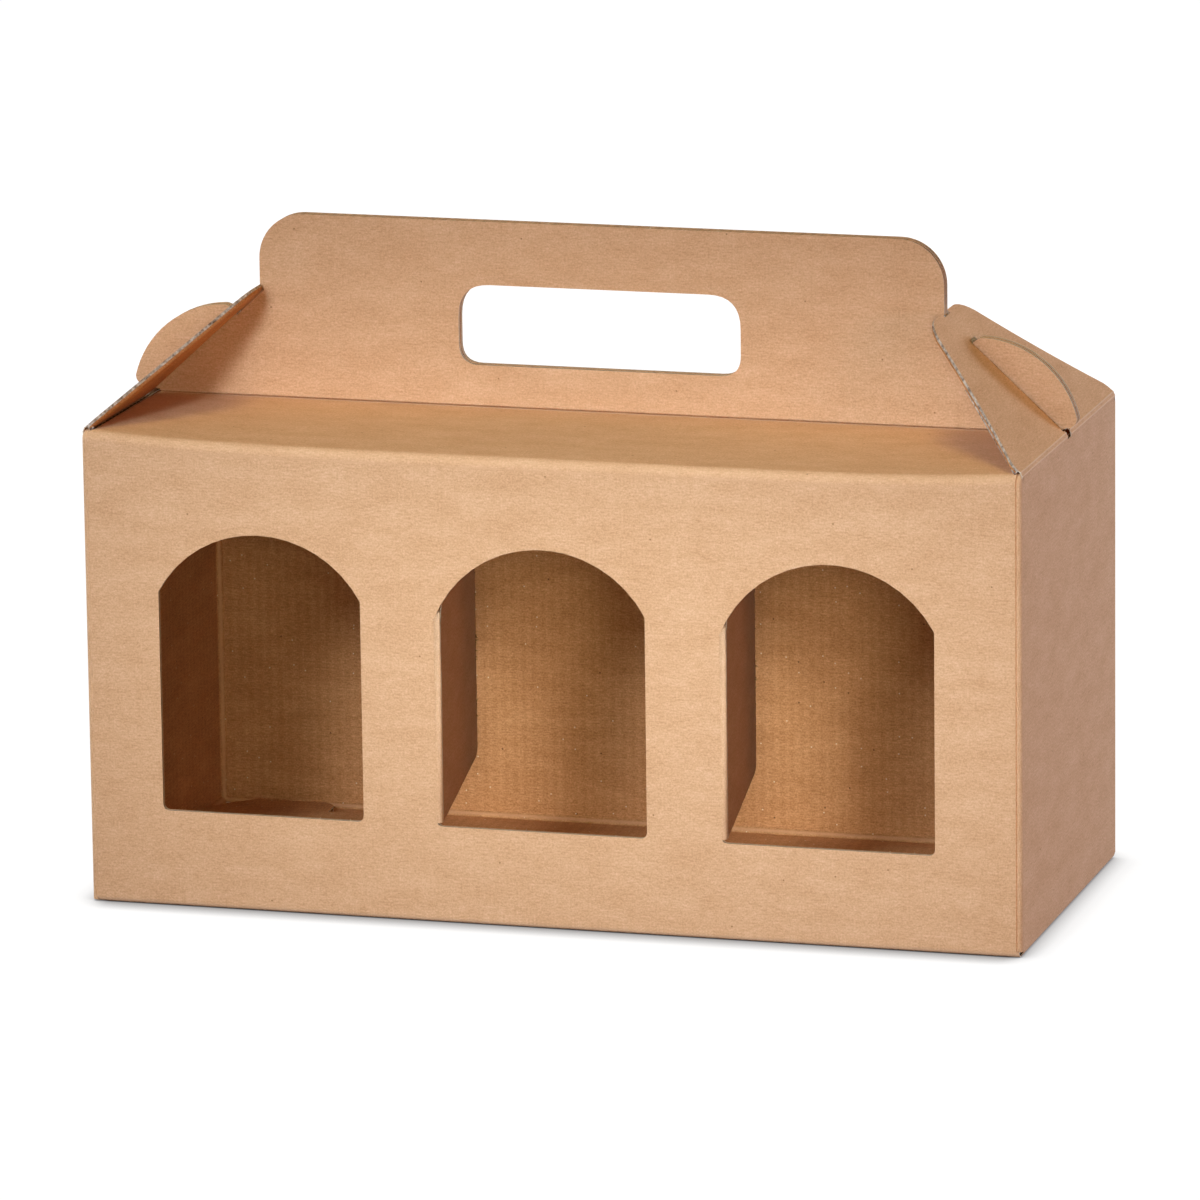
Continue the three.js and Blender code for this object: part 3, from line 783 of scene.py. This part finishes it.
# %% Folds of the gables
GABLE_FOLD_HALF = BACK - 1.5 * MM
EAR_ROOM = 0.2 * MM - HANDLE_FACE  # from the middle to the strips beside the ears
SCORE = 0.1 * MM  # height of the ridges and depth of the scored lines
RIDGE_FOOT, RIDGE_TOP, SCORE_AT = 1.0 * MM, 0.7 * MM, 0.4 * MM  # from the fold, on both panels
GABLE_WEAR = [0, 0, 0.8, 0, 0, 0.8, 0, 0]
for side, sign in SIDES:
    hinge, facing, uphill = gables[side][:3]
    out = sign * X
    outline = [hinge - GABLE_FOLD * Z, hinge - RIDGE_FOOT * Z, hinge - RIDGE_TOP * Z + SCORE * out,
               hinge - SCORE_AT * Z - SCORE * out, hinge + SCORE_AT * uphill - SCORE * facing,
               hinge + RIDGE_TOP * uphill + SCORE * facing, hinge + RIDGE_FOOT * uphill,
               hinge + GABLE_FOLD * uphill]
    for half, start in (("near", -GABLE_FOLD_HALF), ("far", EAR_ROOM)):
        profile = [point + start * Y for point in outline]
        fold(f"{side}_gable_fold_{half}", profile, GABLE_WEAR, facing + out,
             ("carton", side + "_gable"), run=(GABLE_FOLD_HALF - EAR_ROOM) * Y, blended=True,
             start=(HALF + BACK, ROOF - GABLE_FOLD))

# %% [markdown]
# The upright corners are pressed in along a thin groove and rounded beside it. At the top each of
# them curls over, following the fold of the roof, and closes the corner.

# %% Upright corners of the walls
CORNER_ROUND = 1.25 * MM
PRESS_AT = 1.6 * MM  # from the corner to the bottom of the groove
ROUND_AT = 1.3 * MM  # from the corner to the start of the round
ROUND_STEP = 0.03 * MM  # the round starts this far behind the wall's face
CORNER_STEPS = 6
CORNER_WEAR = 0.08
LEFT_PRESS, RIGHT_PRESS = 0.12 * MM, 0.38 * MM  # depth of the groove
LEFT_FOOT = 0.5 * MM
for side, sign, press, foot in (("left", -1, LEFT_PRESS, LEFT_FOOT),
                                ("right", 1, RIGHT_PRESS, WALL_FOOT)):
    for end, facing in FACES:
        corner = Vector((sign * HALF, facing * BACK, foot))
        inward, across = -sign * X, -facing * Y
        centre = corner + CORNER_ROUND * (inward + across)
        profile = [corner + CORNER_FOLD * inward, corner + PRESS_AT * inward + press * across,
                   corner + ROUND_AT * inward + ROUND_STEP * across,
                   *bow(centre, -across, -inward, CORNER_ROUND, CORNER_STEPS),
                   corner + CORNER_FOLD * across]
        wear_and_highlight = [0, 0, 0.1, *paling_over(CORNER_STEPS + 1, CORNER_WEAR), 0]
        rise = (ROOF - TOP_FOLD - foot) * Z
        fold(f"{end}_{side}_corner_fold", profile, wear_and_highlight, -inward - across, ("carton",), run=rise)
        profile = [point + rise for point in profile]
        pivot = Vector((0, facing * (BACK - TOP_FOLD), ROOF - TOP_FOLD))
        fold(f"{end}_{side}_top_corner", profile, wear_and_highlight, -inward - across + Z, ("carton",),
             spin=(pivot, -facing * X))

# %% [markdown]
# At the foot the walls turn under into the floor flaps, in a quarter round that is worn pale. One
# sweep for each side is enough, because none of these folds moves.

# %% Folds of the floor
FOOT_END = 0.9 * MM  # the long folds stop this short of the ends
FOOT_STEPS = 6
FOOT_WEAR = 0.4
long_half, short_half = (HALF - FOOT_END) * X, (BACK - CORNER_FOLD) * Y
for side, out, reach, half in (("front", -Y, BACK, long_half), ("back", Y, BACK, long_half),
                               ("left", -X, HALF, short_half), ("right", X, HALF, short_half)):
    centre = (reach - FOOT_FOLD) * out - half + FOOT_FOLD * Z
    profile = bow(centre, -Z, out, FOOT_FOLD, FOOT_STEPS)
    fold(side + "_foot_fold", profile, paling_over(FOOT_STEPS + 1, FOOT_WEAR), out - Z, ("carton",),
         run=2 * half)

# %% [markdown]
# Each divider flap turns on the left edge of its window, so its fold is an arc of the board's
# thickness. It is made too long and trimmed along the arch, whose slope there follows from the
# window's width and rise.

# %% Folds of the divider flaps
FLAP_WEAR = 0.15
FOLD_SPARE = 4 * BOARD  # extra length, for the trim
ARCH_GAP = 0.3 * MM  # from the arch down to the end of the fold
ARCH_RADIUS = (WINDOW_WIDTH ** 2 / 4 + WINDOW_RISE ** 2) / (2 * WINDOW_RISE)
arch_half = WINDOW_WIDTH / 2 + FOLD_SETBACK
arch_climb = math.sqrt(ARCH_RADIUS ** 2 - arch_half ** 2)
arch_foot = WINDOW_SPRING + WINDOW_RISE - ARCH_RADIUS + arch_climb
arch_way = Vector((arch_climb, 0, arch_half)).normalized()
for side, (hinge, facing, ahead) in dividers.items():
    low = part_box(side + "_divider_flap")[0]
    foot = Vector((hinge.x, hinge.y, low.z))
    sweep = math.degrees((-Y).angle(facing))
    profile = bow(foot, -Y, X, BOARD, sweep=sweep)
    strip = fold(side + "_divider_fold", profile, paling_over(9, FLAP_WEAR), X - Y,
                 ("carton", side + "_divider"), run=(arch_foot + FOLD_SPARE - low.z) * Z)
    trim(strip, Vector((hinge.x, hinge.y, arch_foot - ARCH_GAP)), arch_way.cross(Y))
    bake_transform(strip)

# %% [markdown]
# Inside, every fold pushes up a bead of paper between two pressed lines. The beads at the back
# corners and round the floor can be seen through the windows.

# %% Beads in the inside corners
BEAD = 1.7 * MM
BEAD_SHAPE = ((1.0, 0.0), (0.8, 0.12), (0.74, 0.4), (0.55, 0.55), (0.4, 0.74), (0.12, 0.8),
              (0.0, 1.0))  # along one face and away from it, as shares of the bead
# Paler crest of each bead: partly wear, partly a painted highlight on the ridge.
BEAD_WEAR_AND_HIGHLIGHT = [0, 0, 0.5, 0.7, 0.5, 0, 0]


def bead(name, corner, first, second, run):
    """A bead in an inside corner, given with the two ways along its faces."""
    profile = [corner + BEAD * (along * first + away * second) for along, away in BEAD_SHAPE]
    fold(name, profile, BEAD_WEAR_AND_HIGHLIGHT, first + second, ("carton",), run=run, paper=INSIDE)


inner_half, inner_back = HALF - BOARD, BACK - BOARD
for side, sign in SIDES:
    bead(side + "_back_bead", Vector((sign * inner_half, inner_back, BOARD)), -Y, -sign * X,
         (ROOF - 2 * BOARD) * Z)
    bead(side + "_floor_bead", Vector((sign * inner_half, -inner_back, BOARD)), Z, -sign * X,
         2 * inner_back * Y)
bead("back_floor_bead", Vector((-inner_half, inner_back, BOARD)), Z, -Y, 2 * inner_half * X)

# %% [markdown]
# A cutting die leaves small marks: a torn bridge that held the blank together, or loose fibres where
# a slit ends. Each fibre is a thin cone, and a tuft is joined to one piece. Hair would be finer, but
# it leaves no mesh to export.

# %% Torn fibres at the slits
dice = random.Random(7)


def tuft(name, body, spots, paper, length, thickness):
    """Loose fibres at given spots. A spot is a root, the way the fibre points, and its spread."""
    fibres = []
    for root, way, spread in spots:
        drift = Vector([dice.uniform(-spread, spread) for axis in range(3)])
        lean = (way + drift).normalized()
        reach = length * dice.uniform(0.5, 1.0)
        bpy.ops.mesh.primitive_cone_add(
            vertices=5, radius1=thickness, radius2=thickness / 4, depth=reach,
            location=root + lean * reach / 2, rotation=lean.to_track_quat("Z", "Y").to_euler())
        fibres.append(bpy.context.object)
    piece = join(name, fibres)
    bpy.ops.object.transform_apply(location=True, rotation=True, scale=True)
    piece.data.materials.append(paper)
    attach(piece, body)
    print(piece.name, len(fibres), "fibres on", body)


SLIT_FIBRES = 22  # in a row across the end of the slit, in three layers
SLIT_STEP, SLIT_START = 0.3 * MM, -3.2 * MM
LAYER_START, LAYER_STEP = 0.4 * MM, 0.35 * MM
TIP_BACK, TIP_DEPTH = 1.6 * MM, 0.7 * MM  # roots at the tip: back from its edge, and below its face
TIP_PLACES = (-2.8, -2.2, -1.6, -1.0, -0.4, 0.4, 1.0, 1.6, 2.4)  # millimetres from the middle
for side, (hinge, facing, uphill, tip) in gables.items():
    slit_end = hinge + SLIT_TOP * uphill
    spots = []
    for place in range(SLIT_FIBRES):
        below = LAYER_START + LAYER_STEP * (place % 3)
        root = slit_end + (SLIT_STEP * place + SLIT_START) * Y - below * facing
        spots.append((root, -uphill, 0.35))
    apex = hinge + (tip - TIP_BACK) * uphill - TIP_DEPTH * facing
    spots += [(apex + place * MM * Y, uphill, 0.5) for place in TIP_PLACES]
    tuft(side + "_slit_fibres", side + "_gable", spots, CRUSHED, length=1.8 * MM, thickness=0.3 * MM)

# %% [markdown]
# The divider flaps carry fibres along their ragged edges, and the windows a few stubs where the die
# left bridges. A stub's place is a share of the window's width or a height above its sill.

# %% Torn fibres in the windows
FLAP_FIBRES = 26
FLAP_CLEAR = 12 * MM  # no fibres on the lowest part of a flap
FLAP_BACK = 2.4 * MM  # roots lie this far behind the flap's free edge
SILL_MARKS = ((0, 0.78), (0, 0.93), (1, 0.84), (2, 0.78), (2, 0.9))
EDGE_MARKS = ((0, 40 * MM), (1, 15 * MM), (2, 30 * MM))
for side, (hinge, facing, ahead) in dividers.items():
    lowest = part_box(side + "_divider_flap")[0].z + FLAP_CLEAR
    reach = (WINDOW_WIDTH + FOLD_SETBACK - FLAP_BACK) * ahead + 0.8 * BOARD * facing
    spots = []
    for place in range(FLAP_FIBRES):
        height = lowest + dice.random() * (WINDOW_SPRING - lowest)
        spots.append((Vector((hinge.x, hinge.y, height)) + reach, ahead + 0.5 * facing, 0.8))
    tuft(side + "_divider_fibres", side + "_divider", spots, FLUTING,
         length=1.4 * MM, thickness=0.35 * MM)
left_fold, right_fold = dividers["left"][0].x, dividers["right"][0].x
window_pitch = right_fold - left_fold
first_window = left_fold + FOLD_SETBACK - window_pitch
middle = FRONT + BOARD / 2
marks = []
for window, share in SILL_MARKS:
    along = first_window + window * window_pitch + share * WINDOW_WIDTH
    marks.append((Vector((along, middle, WINDOW_SILL)), Z, 0.5))
for window, height in EDGE_MARKS:
    along = first_window + window * window_pitch + WINDOW_WIDTH
    marks.append((Vector((along, middle, WINDOW_SILL + height)), -X, 0.5))
tuft("window_cutting_marks", "carton", marks, CRUSHED, length=0.8 * MM, thickness=0.2 * MM)

# %% [markdown]
# The photograph was taken from the front, a little to the right and above, with a long lens. The
# camera's angles, distance and lens were worked out from corners of the box in the photograph.

# %% Camera
CAMERA_AZIMUTH = 16.205
CAMERA_ELEVATION = 12.981
CAMERA_ROLL = -0.721
CAMERA_DISTANCE = 2.8706
CAMERA_AIM = Vector((-0.00133, 0, 0.0873))
CAMERA_LENS = 283.75
CAMERA_SENSOR = 36.0


def way_to(azimuth, elevation):
    """The way from the box at these angles in degrees. Azimuth 0 is in front, 90 at the right."""
    turn, rise = math.radians(azimuth), math.radians(elevation)
    return Vector((math.sin(turn) * math.cos(rise), -math.cos(turn) * math.cos(rise), math.sin(rise)))


look = -way_to(CAMERA_AZIMUTH, CAMERA_ELEVATION)
camera_data = bpy.data.cameras.new("camera")
camera_data.sensor_width = CAMERA_SENSOR
camera_data.lens = CAMERA_LENS
camera = new_object("camera", camera_data)
camera.location = CAMERA_AIM - CAMERA_DISTANCE * look
camera.rotation_mode = "QUATERNION"
roll = Quaternion((0, 0, 1), math.radians(CAMERA_ROLL))
camera.rotation_quaternion = look.to_track_quat("-Z", "Y") @ roll
bpy.context.scene.camera = camera
print("camera at", [round(place, 3) for place in camera.location])

# %% [markdown]
# The box stands on a white sheet. To the camera it is white, with a soft dark line under the box that Ambient
# Occlusion finds: a contact shadow painted into the sheet's glow, made paler past the box's ends. To all other
# rays it is a dull warm grey, and sends little light upwards.

# %% Floor and background
SHEET_SIZE = 12.0
WHITE = (1, 1, 1, 1)
CONTACT_REACH = 13 * MM  # width of the painted contact shadow under the box
CONTACT_DARK, CONTACT_CLEAR = 0.18, 0.93  # open sky that shows black, and that shows white
CONTACT_TINT = "#cdcacb"  # grey of the painted contact shadow
END_FADE = 5 * MM  # either side of the box's ends, where the painted shadow turns paler
END_LEVEL = 0.7  # least glow past the ends, painted lighter there as if lit from the side
SHEET_GLOW = 0.97  # glow of the sheet round the box
GLOW_START, GLOW_END = 0.2, 0.6  # metres from the box over which it rises to white
SHEET_GREY = "#606060"  # the part that takes real light and shadow
SHEET_BOUNCE = "#8a7663"  # warm grey, to all other rays
bpy.ops.mesh.primitive_plane_add(size=SHEET_SIZE, location=(0, 0, 0))
sheet = bpy.context.object
sheet.name = "white_sheet"
# White paper: a bright even ground, with only a painted soft contact shadow under the box.
paper, tree = new_material("white_paper_sheet")[:2]
tree.nodes.clear()
seen = add_node(tree, "LightPath").outputs["Is Camera Ray"]
open_sky = add_node(tree, "AmbientOcclusion", {"Distance": CONTACT_REACH}, samples=32).outputs["AO"]
place = add_node(tree, "TexCoord").outputs["Object"]
distance = add_node(tree, "VectorMath", {0: place}, operation="LENGTH").outputs["Value"]
far_level = map_range(tree, distance, GLOW_START, GLOW_END, least=SHEET_GLOW)
along = add_node(tree, "SeparateXYZ", {"Vector": place}).outputs["X"]
along = calculate(tree, "ABSOLUTE", along)
past_end = map_range(tree, along, HALF - END_FADE, HALF + END_FADE, most=END_LEVEL)
near_level = map_range(tree, open_sky, CONTACT_DARK, CONTACT_CLEAR, least=past_end)
tint = mix(tree, near_level, linear(CONTACT_TINT), WHITE)
glow_level = calculate(tree, "MULTIPLY", far_level, near_level)
bright = add_node(tree, "BsdfDiffuse", {"Color": linear(SHEET_GREY)}).outputs["BSDF"]
dull = add_node(tree, "BsdfDiffuse", {"Color": linear(SHEET_BOUNCE)}).outputs["BSDF"]
glow = add_node(tree, "Emission", {"Color": tint, "Strength": glow_level}).outputs["Emission"]
shown = add_node(tree, "AddShader", {0: bright, 1: glow}).outputs[0]
either = add_node(tree, "MixShader", {0: seen, 1: dull, 2: shown}).outputs[0]
add_node(tree, "OutputMaterial", {"Surface": either})
sheet.data.materials.append(paper)
print("sheet of", SHEET_SIZE, "m, contact shadow over", CONTACT_REACH, "m")

# %% [markdown]
# The world is white to the eye and nearly dark to all else. The light comes from lamps, as in a
# studio, so each side of the box can have its own.

# %% World
WORLD_LIGHT = 0.03
WORLD_TINT = "#ffb880"
world = bpy.data.worlds.new("studio")
bpy.context.scene.world = world
world.use_nodes = True
tree = world.node_tree
tree.nodes.clear()
path = add_node(tree, "LightPath")
looked = path.outputs["Is Camera Ray"]
for ray in ("Is Glossy Ray", "Is Transmission Ray"):
    looked = calculate(tree, "MAXIMUM", looked, path.outputs[ray])
warm = add_node(tree, "Background", {"Color": linear(WORLD_TINT), "Strength": WORLD_LIGHT})
white = add_node(tree, "Background", {"Color": WHITE, "Strength": 1.0})
sky = add_node(tree, "MixShader", {
    0: looked, 1: warm.outputs["Background"], 2: white.outputs["Background"]}).outputs[0]
add_node(tree, "OutputWorld", {"Surface": sky})
bpy.context.scene.view_settings.view_transform = "Standard"
print("world light", WORLD_LIGHT)

# %% [markdown]
# The key light comes from the front left and above. Its cone is stretched sideways to a low oval, so
# that the front is evenly lit. Three near spots fill the front and the windows, a cool lamp lights
# the right end, a warm one the roof, and two the back.

# %% Light
LAMP_AIM = Vector((0.03, 0, 0.08))
LAMP_DISTANCE = 1.4
LAMP_SIZE = 0.5
SMALL_LAMP = 0.3
KEY_AIM = Vector((0.03, 0, 0.05))
NEAR_DISTANCE = 0.7
NEAR_SIZE = 0.15
NEAR_HEIGHT = 0.083


def lamp(name, azimuth, elevation, watts, colour, distance=LAMP_DISTANCE, size=LAMP_SIZE, cone=None,
         aim=LAMP_AIM, stretch=1.0):
    """A soft lamp aimed at the box: a flat disc, or a spot with a soft edge if a cone is given."""
    way = way_to(azimuth, elevation)
    data = bpy.data.lights.new(name, "SPOT" if cone else "AREA")
    if cone:
        data.spot_size = math.radians(cone)
        data.spot_blend = 1.0
        data.shadow_soft_size = size / 2
    else:
        data.shape = "DISK"
        data.size = size
    data.energy = watts
    data.color = linear(colour)[:3]
    light = new_object(name, data)
    light.location = aim + distance * way
    light.rotation_mode = "QUATERNION"
    light.rotation_quaternion = (-way).to_track_quat("-Z", "Y")
    light.scale.x = stretch
    light.visible_camera = False
    print(name, watts, "W from", azimuth, elevation)


lamp("key_spot", -12, 25, 54.6, "#dcedff", size=SMALL_LAMP, cone=17, aim=KEY_AIM, stretch=2.0)
lamp("left_front_light", -22, 16, 4.8, "#f8f8ff")
for name, along, watts, colour in (("left", -0.08, 4.3, "#e8eee2"), ("middle", 0.02, 3.8, "#e8eee2"),
                                   ("right", 0.125, 6.3, "#e4f0f2")):
    lamp(name + "_near_spot", 18, 12, watts, colour, distance=NEAR_DISTANCE, size=NEAR_SIZE, cone=26,
         aim=Vector((along, FRONT, NEAR_HEIGHT)))
lamp("window_light", 57, 6, 2.2, "#ffa468", size=SMALL_LAMP)
lamp("right_light", 124, 1, 14.8, "#d2e3ff")
lamp("top_light", 0, 89, 5.2, "#ffe69c")
lamp("back_light", 176, 8, 6.0, "#ffffff")
lamp("left_back_light", -108, 12, 8.0, "#ffffff")
